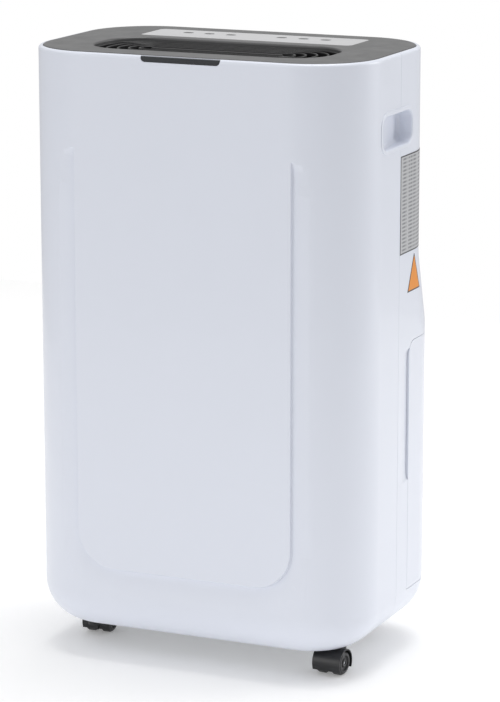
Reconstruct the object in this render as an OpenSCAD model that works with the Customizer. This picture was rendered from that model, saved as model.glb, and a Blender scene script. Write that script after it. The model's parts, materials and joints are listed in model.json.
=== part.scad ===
// Portable compressor dehumidifier: air in at the back, dry air out of the top, bucket at the rear.
// Millimetres. Origin on the floor under the middle of the footprint. +Z up, -Y the front,
// +X the right side seen from the front.

/* [Casing] */
// Width of the casing across its two side walls
body_w = 346; // [340:1:352]
// Depth of the casing at the bucket, its deepest place
body_d = 240; // [236:1:246]
// Depth of the casing above the bucket
upper_d = 220; // [214:1:224]
// Height from the floor to the top panel
body_h = 592; // [588:1:600]
// Height of the casing's underside above the floor
base_z = 26.5; // [26.5:0.5:27.5]
// Radius of the four upright corners in plan
corner_r = 68; // [64:1:70]
// Radius along the bottom edge, all the way round
foot_r = 42; // [38:1:43]
// Thickness of the moulded walls
wall = 2.5; // [2:0.1:2.8]
// Width of the white rim round the top panel
rim_w = 4.3; // [3.8:0.1:5]

/* [Front] */
// Half width of the raised front panel
panel_x = 111; // [106:1:114]
// Height of the raised panel's bottom edge
panel_z = 94.5; // [90:0.5:100]
// Corner radius of the raised panel
panel_r = 38; // [30:1:44]
// Half width of the sunken U round the panel
groove_x = 131; // [126:1:134]
// Bottom of the sunken U
groove_z = 73; // [68:1:76]
// Top end of the sunken U
groove_top_z = 502; // [480:1:520]
// Depth of the sunken U at the panel
groove_depth = 3.8; // [2:0.1:4.5]
// Half width of the light bar under the top edge
light_x = 40; // [30:1:50]

/* [Top] */
// Half width of the outlet
outlet_x = 120; // [112:1:122]
// Half depth of the outlet
outlet_y = 46; // [44:0.5:47]
// How far the outlet grille sits below the panel
outlet_drop = 3.5; // [3:0.5:5]
// Number of rings in the outlet grille
rings = 5; // [3:1:5]
// Half width of the control strip
strip_x = 110.5; // [100:0.5:114]
// Travel of each key
key_travel = 0.8; // [0.4:0.1:1]

/* [Sides] */
// Place of the seam between front and rear shells
seam_y = -5; // [-8:1:-3]
// Middle of the hand grips, front to back
grip_y = -13; // [-15:1:-11]
// Middle height of the hand grips
grip_z = 520.5; // [515:0.5:526]
// Depth of each hand grip
grip_depth = 16; // [12:1:17]

/* [Bucket] */
// Place of the bucket's front wall
tank_y = 23.5; // [22:0.5:26]
// Bottom of the bucket
tank_z = 65.6; // [64:0.2:68]
// Top of the bucket
tank_top = 311.5; // [305:0.5:315]
// Depth of the finger hold in front of the bucket's edge
hold_depth = 2.4; // [1.5:0.1:3]

/* [Air filter] */
// Half width of the filter door
door_x = 102.6; // [96:0.2:104]
// Bottom of the filter door
door_z = 402.4; // [401:0.2:410]
// Top of the filter door
door_top = 559.6; // [550:0.2:562]

/* [Casters] */
// Distance of the front swivels from the middle
caster_x = 131; // [124:1:132]
// Place of the front swivels
caster_front_y = -46; // [-60:1:-40]
// Distance of the rear swivels from the middle
caster_rear_x = 100; // [94:1:102]
// Place of the rear swivels
caster_rear_y = 62; // [58:1:62]
// Radius of the caster wheels
wheel_r = 12; // [11.5:0.5:12]
// Distance from the swivel to the wheel axle
caster_trail = 15; // [15:0.5:17]

/* [Hidden] */
$fn = 96;

white = [0.86, 0.88, 0.93];
grey = [0.51, 0.51, 0.51];
pale_grey = [0.86, 0.86, 0.87];
black = [0.08, 0.08, 0.09];
steel = [0.72, 0.73, 0.75];
copper = [0.75, 0.45, 0.3];
board_green = [0.1, 0.35, 0.2];

front_y = -body_d / 2;
rear_y = body_d / 2;
upper_y = front_y + upper_d;
side_x = body_w / 2;
shelf_z = 322;             // where the back starts to lean forward
lean_z = 392;              // where the upper back starts
lean = atan((body_d - upper_d) / (lean_z - shelf_z));
lean_back = body_d / 2 * cos(lean) + shelf_z * sin(lean);
rim_z = body_h - 0.5;
lip_z = body_h - 9;        // underside of the rim that holds the top panel
diagonal = (side_x + rear_y - 2 * corner_r) / sqrt(2) + corner_r + 1; // middle to a bottom corner
panel_gap = 0.3;
plate_z = body_h - 3.5;    // underside of the top panel's plate
seam_gap = 0.15;           // half the seam between the two shells
bay_gap = 0.5;             // gap all round the bucket
outlet_mid = front_y + 81; // middle of the outlet, front to back
outlet_r = 38;
ring_step_x = 10;
ring_step_y = 8.4;
ring_t = 2;
grille_z = body_h - outlet_drop;
strip_y0 = upper_y - 78;
strip_y1 = upper_y - 26;
strip_t = 1.1;
strip_top = body_h - 0.1;
key_y = strip_y0 + 32.5;
key_xs = [-73, -50.5, -27.5, 26, 49, 72];
key_half_x = 5;
key_half_y = 3.6;
bay_y = tank_y - bay_gap;
bay_floor_z = tank_z - bay_gap;
bay_roof_z = 358;
liner_t = 2.4;
fan_z = 461;
scroll_r = 98;
scroll_y0 = front_y + 36;
scroll_y1 = scroll_y0 + 90;
scroll_top = grille_z - 12.5;
coil_z0 = 388;
coil_z1 = 560;
tray_z = bay_roof_z + liner_t;
duct_z0 = tray_z + 22;     // floor and roof of the duct that holds the coils
duct_z1 = coil_z1 + 4;
discharge_z = coil_z1 - 8; // top and bottom rows of the coils
suction_z = coil_z0 + 8;
spout_x = -60;
spout_z = tray_z + 8.4;
spout_r = 7;
comp_x = -60;
comp_y = -31;
comp_r = 48;
accu_x = comp_x + 72;
comp_feet = 56;            // distance of the compressor's feet from its axis
foot_turns = [30, 150, 270];
screw_zs = [396.8, 571];
pan_t = 3.1;
pan_floor = base_z + 11.4;  // top of the base pan, where the compressor stands
hood_r = wheel_r + 1.9;
stem_r = 3;
swivels = [
    [-caster_x, caster_front_y], [caster_x, caster_front_y],
    [-caster_rear_x, caster_rear_y], [caster_rear_x, caster_rear_y],
];
// Rest headings of the casters: 0 trails to the back, 180 to the front
heading_fl = 4;
heading_fr = 176;
heading_rl = -8;
heading_rr = 12;

// ---------- shared shapes ----------

module rounded(x0, x1, y0, y1, r) {
    translate([x0 + r, y0]) square([x1 - x0 - 2 * r, y1 - y0]);
    translate([x0, y0 + r]) square([x1 - x0, y1 - y0 - 2 * r]);
    for (x = [x0 + r, x1 - r], y = [y0 + r, y1 - r]) translate([x, y]) circle(r);
}

// A flat outline (x, y) given height in z
module along_z(z0, z1) { translate([0, 0, z0]) linear_extrude(z1 - z0) children(); }

// A flat outline (x, z) given depth in y
module along_y(y0, y1) { translate([0, y1, 0]) rotate([90, 0, 0]) linear_extrude(y1 - y0) children(); }

// A flat outline (y, z) given width in x
module along_x(x0, x1) { translate([x0, 0, 0]) rotate([90, 0, 90]) linear_extrude(x1 - x0) children(); }

module block(x0, x1, y0, y1, z0, z1) { translate([x0, y0, z0]) cube([x1 - x0, y1 - y0, z1 - z0]); }

module rod_x(x0, x1, y, z, r) { translate([x0, y, z]) rotate([0, 90, 0]) cylinder(h = x1 - x0, r = r); }

module rod_y(x, y0, y1, z, r) { translate([x, y0, z]) rotate([-90, 0, 0]) cylinder(h = y1 - y0, r = r); }

// Plan outline of the casing, moved in by inset, with its back at back_y
module plan(inset, back_y) {
    rounded(-side_x + inset, side_x - inset, front_y + inset, back_y - inset, corner_r - inset);
}

// A casing-tall slab between -half and half across, its bottom edges rounded, its skin moved in by inset
module slab(half, inset) {
    along_y(-300, 300) rounded(-half + inset, half - inset, base_z + inset, body_h + 200, foot_r - inset);
}

// The casing as a solid, its skin moved in by inset, up to top_z. Slabs along the sides, the front and
// the two diagonals round its bottom edge. The back stands out over the bucket and leans forward to the
// upper back between shelf_z and lean_z
module casing(inset, top_z) {
    intersection() {
        union() {
            along_z(base_z + inset, top_z) plan(inset, upper_y);
            intersection() {
                along_z(base_z + inset, top_z) plan(inset, rear_y);
                rotate([lean, 0, 0]) along_z(-100, body_h + 100)
                    rounded(-side_x + inset, side_x - inset, -100, lean_back - inset, corner_r - inset);
                block(-side_x - 1, side_x + 1, 0, rear_y + 1, base_z, body_h + 1);
            }
        }
        slab(side_x, inset);
        rotate([0, 0, 90]) slab(rear_y, inset);
        rotate([0, 0, 45]) slab(diagonal, inset);
        rotate([0, 0, -45]) slab(diagonal, inset);
    }
}

module skin() {
    difference() {
        casing(0, rim_z);
        casing(wall, lip_z);
        along_z(lip_z - 1, body_h + 1) plan(rim_w, upper_y);
    }
}

// Outline of the opening in the flat of the casing's bottom, moved in by inset
module pan_opening(inset) {
    rounded(-129 + inset, 129 - inset, front_y + foot_r + inset, caster_rear_y + 8 - inset, 20 - inset);
}

module bottom_opening() {
    along_z(base_z - 1, base_z + wall + 1) pan_opening(0);
    for (s = swivels) translate([s[0], s[1], base_z - 1]) cylinder(h = 12, r = 9);
}

module grip_outline(grow) {
    rounded(grip_y - 37 - grow, grip_y + 37 + grow, grip_z - 15.5 - grow, grip_z + 15.5 + grow, 10 + grow);
}

module grip_holes() {
    for (s = [-1, 1]) along_x(s * (side_x - 10) - 15, s * (side_x - 10) + 15) grip_outline(2.2);
}

module tank_outline(grow) {
    intersection() {
        rounded(tank_y - grow, rear_y + 60, 0, tank_top + grow, 12);
        translate([tank_y - grow, tank_z - grow]) square([rear_y + 100, tank_top - tank_z + 2 * grow]);
    }
}

// ---------- casing ----------

module groove_cut() {
    difference() {
        intersection() {
            along_y(front_y - 1, front_y + groove_depth)
                rounded(-groove_x, groove_x, groove_z, groove_top_z, 34);
            along_x(-groove_x, groove_x) polygon([
                [front_y - 1, groove_z - 1], [front_y, groove_z], [front_y + groove_depth, panel_z],
                [front_y + groove_depth, groove_top_z + 1], [front_y - 1, groove_top_z + 1],
            ]);
        }
        along_y(front_y - 2, front_y + groove_depth + 1)
            rounded(-panel_x, panel_x, panel_z, body_h, panel_r);
    }
}

module groove_backing() {
    intersection() {
        casing(wall - 0.5, lip_z);
        difference() {
            along_y(front_y + 1, front_y + groove_depth + wall)
                rounded(-groove_x - 3, groove_x + 3, groove_z - 3, groove_top_z + 3, 37);
            along_y(front_y, front_y + 12)
                rounded(-panel_x + 4, panel_x - 4, panel_z + 4, body_h, panel_r - 4);
        }
    }
}

module light_bar_outline(grow) {
    intersection() {
        rounded(-light_x - grow, light_x + grow, rim_z - 5.6 - grow, body_h + 20, 4 + grow);
        translate([-60, 0]) square([120, rim_z]);
    }
}

module front_shell() {
    color(white) difference() {
        union() {
            intersection() {
                skin();
                block(-side_x, side_x, front_y, seam_y - seam_gap, 0, body_h);
            }
            groove_backing();
        }
        groove_cut();
        bottom_opening();
        grip_holes();
        along_y(front_y - 1, front_y + 2.8) light_bar_outline(0.15);
    }
}

module finger_hold() {
    for (s = [-1, 1]) mirror([s < 0 ? 1 : 0, 0, 0])
        intersection() {
            along_z(tank_z + 110, tank_top - 6)
                polygon([
                    [side_x, 0], [side_x + 1, 0], [side_x + 1, bay_y + 1], [side_x - hold_depth, bay_y + 1],
                ]);
            along_x(0, side_x + 2) rounded(-20, bay_y + 20, tank_z + 110, tank_top - 6, 8);
        }
}

module finger_hold_backing() {
    for (s = [-1, 1]) mirror([s < 0 ? 1 : 0, 0, 0])
        block(side_x - hold_depth - wall, side_x - wall + 0.5, -2, bay_y, tank_z + 106, tank_top);
}

module rear_shell() {
    color(white) difference() {
        union() {
            intersection() {
                skin();
                block(-side_x, side_x, seam_y + seam_gap, rear_y, 0, body_h);
            }
            finger_hold_backing();
            for (x = [-85, 85], z = screw_zs) rod_y(x, upper_y - 11, upper_y - wall, z, 4.6);
        }
        along_x(-side_x - 1, side_x + 1) tank_outline(bay_gap);
        finger_hold();
        bottom_opening();
        grip_holes();
        block(-door_x - 0.4, door_x + 0.4, upper_y - 5, upper_y + 1, door_z - 0.4, door_top + 0.4);
        for (x = [-85, 85], z = screw_zs) rod_y(x, upper_y - 12, upper_y + 1, z, 2);
        rod_y(spout_x, upper_y - 10, rear_y, spout_z, 9.3);
        rod_x(-side_x - 1, -side_x + 8, 8, 90, 6);
    }
}

// Places a piece on the axis of one of the compressor's feet
module comp_foot(a) {
    translate([comp_x + comp_feet * cos(a), comp_y + comp_feet * sin(a), 0]) children();
}

// Outline of the base pan's tray, moved in by inset, with its back at back_y
module pan_outline(inset, back_y) {
    rounded(-132 + inset, 132 - inset, front_y + 22 + inset, back_y - inset, 40 - inset);
}

module base_pan() {
    color(black) difference() {
        union() {
            difference() {
                along_z(base_z, pan_floor - pan_t + 0.1) pan_opening(0.5);
                along_z(base_z - 1, pan_floor - pan_t) pan_opening(3.5);
            }
            along_z(pan_floor - pan_t, pan_floor) pan_outline(0, caster_rear_y + 10);
            difference() {
                along_z(pan_floor - 1, pan_floor + 22) pan_outline(0, bay_y - 6);
                along_z(pan_floor - 2, pan_floor + 30) pan_outline(2.5, bay_y - 6);
            }
            for (s = swivels) translate([s[0], s[1], base_z + 0.6]) cylinder(h = 24, r = 8);
        }
        for (s = swivels) translate([s[0], s[1], base_z - 1]) cylinder(h = 23, r = stem_r);
        for (a = foot_turns) comp_foot(a) translate([0, 0, base_z + 1]) cylinder(h = 20, r = 3);
    }
}

module outlet_outline(grow) {
    rounded(-outlet_x - grow, outlet_x + grow, outlet_mid - outlet_y - grow, outlet_mid + outlet_y + grow,
        outlet_r + grow);
}

module strip_outline(grow) {
    rounded(-strip_x - grow, strip_x + grow, strip_y0 - grow, strip_y1 + grow, 6 + grow);
}

module key_outline(x, grow) {
    rounded(x - key_half_x - grow, x + key_half_x + grow, key_y - key_half_y - grow,
        key_y + key_half_y + grow, key_half_y - 0.1 + grow);
}

module top_panel() {
    color(grey) difference() {
        union() {
            difference() {
                union() {
                    along_z(lip_z - 4, body_h) plan(rim_w + panel_gap, upper_y);
                    along_z(lip_z - 4, lip_z) plan(wall + 0.2, upper_y);
                }
                along_z(lip_z - 5, plate_z) plan(rim_w + panel_gap + wall, upper_y);
            }
            along_z(grille_z - 12, plate_z + 1) outlet_outline(wall);
        }
        along_z(grille_z - 13, body_h + 1) outlet_outline(0.2);
        along_z(strip_top - strip_t, body_h + 1) strip_outline(0.2);
        for (x = key_xs) along_z(plate_z - 1, body_h) key_outline(x, 0.35);
    }
}

module outlet_grille() {
    color(black) union() {
        for (k = [0:rings - 1]) {
            half_x = outlet_x - ring_step_x * k;
            half_y = outlet_y - ring_step_y * k;
            r = min(outlet_r - 6.2 * k, half_y - 0.4);
            along_z(grille_z - 10, grille_z) difference() {
                rounded(-half_x, half_x, outlet_mid - half_y, outlet_mid + half_y, r);
                rounded(-half_x + ring_t, half_x - ring_t, outlet_mid - half_y + ring_t,
                    outlet_mid + half_y - ring_t, r - ring_t);
            }
        }
        along_z(grille_z - 10, grille_z) rounded(-68, 68, outlet_mid - 2, outlet_mid + 2, 1.9);
        for (x = [-84:28:84])
            block(x - 1, x + 1, outlet_mid - outlet_y + 1, outlet_mid + outlet_y - 1, grille_z - 10,
                grille_z - 5);
        block(-outlet_x + 1, -66, outlet_mid - 1, outlet_mid + 1, grille_z - 10, grille_z - 5);
        block(66, outlet_x - 1, outlet_mid - 1, outlet_mid + 1, grille_z - 10, grille_z - 5);
    }
}

module control_strip() {
    color(pale_grey) along_z(strip_top - strip_t, strip_top) difference() {
        strip_outline(0);
        for (x = key_xs) key_outline(x, 0.35);
    }
}

module key(i) {
    x = key_xs[i];
    color(grey) union() {
        along_z(plate_z - 1.9, strip_top) key_outline(x, 0);
        along_z(plate_z - 1.9, plate_z - 0.4) key_outline(x, 1.6);
        translate([x, key_y, plate_z - 6.4]) cylinder(h = 5, r = 2);
    }
}

module light_bar_lens() {
    color([0.2, 0.23, 0.27]) along_y(front_y, front_y + 2.7) light_bar_outline(0);
}

module grip_cup() {
    color(white) difference() {
        union() {
            along_x(side_x, side_x + 0.8) grip_outline(4.5);
            along_x(side_x - grip_depth - 2, side_x + 0.1) grip_outline(2);
        }
        along_x(side_x - grip_depth, side_x + 2) grip_outline(0);
    }
}

// A skin of thickness t on the right wall, inside a flat outline (y, z)
module wall_patch(t) {
    intersection() {
        difference() {
            casing(-t, rim_z);
            casing(0, rim_z + 1);
        }
        along_x(side_x - 60, side_x + 2) children();
    }
}

module rating_plate() {
    color([0.74, 0.74, 0.76]) wall_patch(0.25) rounded(seam_y + 1, seam_y + 67, 400, 494, 2);
}

module notice_sticker() {
    color([0.93, 0.64, 0.31]) wall_patch(0.25) polygon([[16.5, 360.5], [49.5, 360.5], [33, 396]]);
}

// ---------- filter door ----------

door_t = 3.5;
pivot_r = door_t / 2;
pivot_z = door_z + pivot_r;
pivot_y = upper_y - pivot_r;
frame_x = door_x - 5.6;
frame_z0 = door_z + 7.6;
frame_z1 = door_top - 7.6;

module intake_grille() {
    color(white) difference() {
        union() {
            block(-door_x, door_x, upper_y - door_t, upper_y, pivot_z, door_top);
            rod_x(-door_x, door_x, pivot_y, pivot_z, pivot_r);
        }
        for (col = [-1:1], row = [0:16])
            along_y(upper_y - door_t - 1, upper_y + 1)
                rounded(col * 64 - 29, col * 64 + 29, 413 + row * 7.6, 417.2 + row * 7.6, 2);
        along_y(upper_y - 2, upper_y + 1) rounded(-16, 16, door_top - 10, door_top - 3, 3);
    }
}

module filter_frame() {
    y0 = upper_y - door_t - 6;
    y1 = upper_y - door_t;
    color(black) difference() {
        block(-frame_x, frame_x, y0, y1, frame_z0, frame_z1);
        for (col = [-1:1]) along_y(y0 - 1, y1 + 1)
            rounded(col * 63 - 29, col * 63 + 29, frame_z0 + 4, frame_z1 - 4, 3);
        block(-frame_x + 2, frame_x - 2, y0 + 2, y0 + 2.8, frame_z0 + 2, frame_z1 - 2);
    }
}

module filter_mesh() {
    y0 = upper_y - door_t - 3.8;
    color([0.25, 0.27, 0.3])
        block(-frame_x + 2.1, frame_x - 2.1, y0 - 0.1, y0 + 0.5, frame_z0 + 2.1, frame_z1 - 2.1);
}

// ---------- bucket ----------

tank_mouth_z = 296;
lid_t = 2;
handle_y = 60;
handle_z = 303.5;
handle_reach = 27;
handle_x = 158;
float_x = -131;
float_y = 92;
float_z = 262;

module tank_room(inset) {
    intersection() {
        along_z(tank_z, tank_top + 1) plan(inset, rear_y);
        block(-side_x, side_x, tank_y + inset, rear_y, tank_z, tank_top + 1);
    }
}

module handle_ear(s) {
    block(s > 0 ? handle_x + 3.6 : -172, s > 0 ? 172 : -handle_x - 3.6, handle_y - 6, handle_y + 6,
        tank_mouth_z - 6, handle_z + 6);
}

module water_tank() {
    color(white) difference() {
        intersection() {
            casing(0, rim_z);
            along_x(-side_x, side_x) tank_outline(0);
            union() {
                difference() {
                    block(-side_x, side_x, tank_y, rear_y, tank_z, tank_top);
                    intersection() {
                        tank_room(wall);
                        casing(wall + 0.3, rim_z);
                        block(-side_x, side_x, 0, rear_y, tank_z + wall, tank_top + 1);
                    }
                }
                difference() {
                    block(-side_x, side_x, tank_y, rear_y, tank_mouth_z - 5, tank_mouth_z);
                    tank_room(wall + 3.5);
                }
                handle_ear(-1);
                handle_ear(1);
            }
        }
        rod_x(handle_x + 3, handle_x + 9.5, handle_y, handle_z, 2.55);
        rod_x(-handle_x - 9.5, -handle_x - 3, handle_y, handle_z, 2.55);
    }
}

module tank_lid() {
    color([0.8, 0.85, 0.9]) difference() {
        union() {
            intersection() {
                tank_room(wall + 0.3);
                block(-side_x, side_x, 0, rear_y, tank_mouth_z, tank_mouth_z + lid_t);
            }
            for (s = [-1, 1])
                block(float_x + s * 8.5 - 1.5, float_x + s * 8.5 + 1.5, float_y - 5, float_y + 5,
                    float_z - 5, tank_mouth_z + 1);
            rod_x(float_x - 8, float_x + 8, float_y, float_z, 2.5);
        }
        translate([0, 85, tank_mouth_z - 1]) cylinder(h = 5, r = 19);
        translate([104, 88, tank_mouth_z - 1]) cylinder(h = 5, r = 13);
        for (x = [-171, handle_x + 3.2])
            block(x, x + 12, handle_y - 6.4, handle_y + 6.4, tank_mouth_z - 1, tank_mouth_z + 5);
    }
}

module tank_handle() {
    bar_y = handle_y - handle_reach;
    color(pale_grey) union() {
        for (s = [-1, 1]) mirror([s < 0 ? 1 : 0, 0, 0]) {
            along_x(handle_x - 5, handle_x) {
                translate([handle_y, handle_z]) circle(4.5);
                translate([bar_y, handle_z - 4]) square([handle_reach, 8]);
                translate([bar_y, handle_z]) circle(4);
            }
            rod_x(handle_x - 1, handle_x + 9, handle_y, handle_z, 2.5);
        }
        rod_x(-handle_x + 1, handle_x - 1, bar_y, handle_z, 4);
    }
}

module tank_float() {
    color([0.95, 0.95, 0.93]) difference() {
        union() {
            block(float_x - 19, float_x + 19, 40, 78, float_z - 13, float_z + 9);
            block(float_x - 3, float_x + 3, 70, float_y, float_z - 4, float_z + 4);
            rod_x(float_x - 6, float_x + 6, float_y, float_z, 5);
        }
        rod_x(float_x - 7, float_x + 7, float_y, float_z, 2.55);
    }
}

module tank_bay() {
    color([0.8, 0.82, 0.84]) difference() {
        intersection() {
            casing(wall + 0.2, lip_z);
            along_x(-side_x, side_x) union() {
                translate([bay_y - liner_t, pan_floor]) square([liner_t, bay_roof_z + liner_t - pan_floor]);
                translate([bay_y - liner_t, bay_floor_z - liner_t]) square([rear_y, liner_t]);
                translate([bay_y - liner_t, bay_roof_z]) square([rear_y, liner_t]);
            }
        }
        translate([0, 85, bay_roof_z - 1]) cylinder(h = 5, r = 9);
        for (s = swivels) translate([s[0], s[1], base_z]) cylinder(h = 26, r = 8.2);
        for (s = [-1, 1]) mirror([s < 0 ? 1 : 0, 0, 0])
            block(side_x - hold_depth - wall - 0.2, side_x, bay_y - liner_t - 1, bay_y + 1,
                tank_z + 105.8, tank_top + 0.2);
    }
}

module tank_switch() {
    color(black) union() {
        block(-146, -126, bay_y - liner_t - 9, bay_y - liner_t, 268, 282);
        block(-152, -120, bay_y - liner_t - 2, bay_y - liner_t, 264, 286);
    }
}

// ---------- water path ----------

module drip_tray() {
    color([0.8, 0.82, 0.84]) difference() {
        union() {
            block(-122, 122, 30, 92, tray_z, tray_z + 20);
            translate([0, 85, bay_roof_z - 26]) cylinder(h = 30, r = 6);
        }
        block(-120, 120, 32, 90, tray_z + 2, tray_z + 21);
        translate([0, 85, bay_roof_z - 27]) cylinder(h = 34, r = 4);
        rod_y(spout_x, 88, 93, spout_z, 5);
    }
}

module drain_spout() {
    color(pale_grey) difference() {
        union() {
            rod_y(spout_x, 92, 112, spout_z, 8);
            rod_y(spout_x, 92, rear_y - 0.6, spout_z, spout_r);
        }
        rod_y(spout_x, 91, rear_y, spout_z, 5);
    }
}

module drain_plug() {
    color(black) union() {
        rod_y(spout_x, rear_y - 10, rear_y - 0.4, spout_z, 4.9);
        rod_y(spout_x, rear_y - 0.5, rear_y, spout_z, 6.6);
    }
}

// ---------- refrigeration ----------

module coil(y0, y1, rows) {
    mid = (y0 + y1) / 2;
    step = (coil_z1 - coil_z0 - 16) / (rows - 1);
    union() {
        block(-100, 100, y0, y1, coil_z0, coil_z1);
        for (x = [-104, 102]) block(x, x + 2, y0 - 1, y1 + 1, duct_z0, duct_z1);
        for (row = [0:rows - 1]) rod_x(-106, 106, mid, coil_z0 + 8 + row * step, 3.5);
        for (row = [0:2:rows - 2]) return_bend(105, 90, mid, row, step);
        for (row = [1:2:rows - 3]) return_bend(-105, -90, mid, row, step);
    }
}

// A U of tube at x that joins a row of a coil to the next, turned outwards by turn
module return_bend(x, turn, y, row, step) {
    translate([x, y, coil_z0 + 8 + (row + 0.5) * step]) rotate([90, turn, 0])
        rotate_extrude(angle = 180) translate([step / 2, 0]) circle(3.9);
}

module evaporator() { color(steel) coil(62, 84, 8); }

module condenser() { color(steel) mirror([1, 0, 0]) coil(36, 58, 8); }

module coil_shroud() {
    color(black) difference() {
        block(-124, 124, scroll_y1, 87, duct_z0 - 2, duct_z1 + 2);
        block(-122, 122, scroll_y1 + 2, 88, duct_z0, duct_z1);
        rod_y(0, scroll_y1 - 1, 20, fan_z, 64);
        block(-100, 100, 34, 86, duct_z0 - 3, duct_z0 + 1);
        rod_x(121, 125, 47, discharge_z, 5);
        rod_x(-125, -121, 73, suction_z, 5.5);
    }
}

module compressor() {
    color(black) translate([comp_x, comp_y, 0]) union() {
        rotate_extrude() polygon([
            [0, 60], [32, 60], [41, 64], [46, 70], [comp_r, 78], [comp_r, 190], [46, 198], [41, 204],
            [32, 209], [16, 212], [0, 213],
        ]);
        for (a = foot_turns) rotate([0, 0, a]) difference() {
            block(36, comp_feet + 8, -9, 9, 54, 57);
            translate([comp_feet, 0, 50]) cylinder(h = 10, r = 5);
        }
        for (a = foot_turns) rotate([0, 0, a]) block(34, 45, -9, 9, 54, 66);
        translate([0, 0, 210]) cylinder(h = 14, r = 5);
    }
}

module accumulator() {
    color(black) translate([accu_x, comp_y, 0]) rotate_extrude() polygon([
        [0, 90], [8, 90], [15, 95], [17, 100], [17, 178], [15, 183], [8, 188], [5, 189], [5, 196], [0, 196],
    ]);
}

module compressor_grommets() {
    color(black) for (a = foot_turns) comp_foot(a) difference() {
        union() {
            translate([0, 0, pan_floor]) cylinder(h = 54 - pan_floor, r = 8);
            translate([0, 0, 53]) cylinder(h = 4.5, r = 5);
            translate([0, 0, 57]) cylinder(h = 3, r = 8);
        }
        translate([0, 0, pan_floor - 1]) cylinder(h = 40, r = 3);
    }
}

module compressor_bolts() {
    color(steel) for (a = foot_turns) comp_foot(a) union() {
        translate([0, 0, pan_floor - 4]) cylinder(h = 66 - pan_floor, r = 3);
        translate([0, 0, 60]) cylinder(h = 1.2, r = 7);
        translate([0, 0, 61.2]) cylinder(h = 4, r = 5.5, $fn = 6);
    }
}

module pipe(points, r) {
    for (i = [0:len(points) - 2]) {
        step = points[i + 1] - points[i];
        length = norm(step);
        translate(points[i]) rotate([0, acos(step[2] / length), atan2(step[1], step[0])])
            cylinder(h = length, r = r);
        if (i > 0) translate(points[i]) sphere(r + 0.4);
    }
}

module refrigerant_pipes() {
    color(copper) union() {
        pipe([
            [comp_x, comp_y, 224], [comp_x, comp_y, 340], [134, comp_y, 340], [134, 24, 380],
            [134, 47, 400], [134, 47, discharge_z], [106, 47, discharge_z],
        ], 4);
        pipe([
            [accu_x, comp_y, 196], [accu_x, comp_y, 232], [accu_x, -66, 267], [accu_x, -66, 320],
            [-136, -66, 320], [-136, 24, 380], [-136, 73, suction_z], [-106, 73, suction_z],
        ], 4.5);
    }
}

// ---------- fan ----------

module scroll_outline(inset) {
    translate([0, fan_z]) circle(scroll_r - inset);
    polygon([
        [scroll_r - inset, fan_z], [scroll_r - inset, 535 + inset / 2], [114 - inset, 556 + inset / 2],
        [114 - inset, scroll_top + inset], [-114 + inset, scroll_top + inset],
        [-114 + inset, 562 + inset], [-45, 546 + inset], [0, fan_z],
    ]);
}

module fan_scroll() {
    color(black) difference() {
        along_y(scroll_y0, scroll_y1) scroll_outline(0);
        along_y(scroll_y0 + 2, scroll_y1 - 2) scroll_outline(2);
        rod_y(0, scroll_y1 - 3, scroll_y1 + 1, fan_z, 62);
        rod_y(0, scroll_y0 - 1, scroll_y0 + 3, fan_z, 10);
    }
}

module fan_motor() {
    color(steel) difference() {
        union() {
            rod_y(0, scroll_y0 - 28, scroll_y0 - 2, fan_z, 42);
            rod_y(0, scroll_y0 - 30, scroll_y0, fan_z, 16);
            for (a = [45:90:315]) translate([0, 0, fan_z]) rotate([0, a, 0])
                block(38, 54, scroll_y0 - 5, scroll_y0, -5, 5);
        }
        rod_y(0, scroll_y0 - 27, scroll_y0 + 1, fan_z, 4.05);
    }
}

module motor_shaft() { color(steel) rod_y(0, scroll_y0 - 26, scroll_y0 + 46, fan_z, 4); }

module fan_wheel() {
    y0 = scroll_y0 + 12;
    color([0.75, 0.77, 0.8]) difference() {
        union() {
            rod_y(0, y0, y0 + 2.5, fan_z, 82);
            rod_y(0, y0, y0 + 36, fan_z, 12);
            difference() {
                rod_y(0, y0 + 60, y0 + 64, fan_z, 82);
                rod_y(0, y0 + 59, y0 + 65, fan_z, 66);
            }
            for (a = [0:12:348]) translate([0, 0, fan_z]) rotate([0, a, 0]) translate([67, 0, 0])
                rotate([0, 35, 0]) block(0, 14, y0 + 1, y0 + 62, -0.8, 0.8);
        }
        rod_y(0, y0 - 1, y0 + 37, fan_z, 4);
    }
}

// ---------- electrics ----------

module control_board() {
    y1 = bay_y - liner_t;
    color(board_green) union() {
        block(50, 150, y1 - 10, y1 - 8.4, 225, 325);
        for (x = [55, 145], z = [230, 320]) rod_y(x, y1 - 9, y1, z, 3);
        block(60, 92, y1 - 38, y1 - 9, 285, 315);
        block(102, 122, y1 - 28, y1 - 9, 290, 312);
        block(126, 142, y1 - 26, y1 - 9, 286, 314);
        for (x = [64, 84, 104]) rod_y(x, y1 - 34, y1 - 9, 250, 8);
        block(118, 144, y1 - 24, y1 - 9, 236, 262);
    }
}

module display_board() {
    z = plate_z - 12.5;
    color(board_green) union() {
        block(-102, 102, strip_y0 + 8, strip_y1 - 6, z, z + 1.6);
        for (x = key_xs) block(x - 3, x + 3, key_y - 3, key_y + 3, z + 1, z + 5);
        block(-17, 17, key_y - 8, key_y + 8, z + 1, z + 8);
        for (x = [-96, 96]) translate([x, key_y, z + 1]) cylinder(h = plate_z - z - 1, r = 3);
    }
}

module run_capacitor() {
    color(steel) translate([100, -62, pan_floor]) union() {
        cylinder(h = 70, r = 19);
        cylinder(h = 4, r = 22);
        for (x = [-6, 6]) translate([x - 3, -0.5, 70]) cube([6, 1, 9]);
    }
}

module humidity_sensor() {
    color(white) block(124, 133, 62, 80, 470, 496);
}

module cord_gland() {
    color(black) difference() {
        union() {
            rod_x(-side_x - 0.8, -side_x, 8, 90, 9);
            rod_x(-side_x, -side_x + 12, 8, 90, 6);
        }
        rod_x(-side_x - 1, -side_x + 13, 8, 90, 3.9);
    }
}

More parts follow.
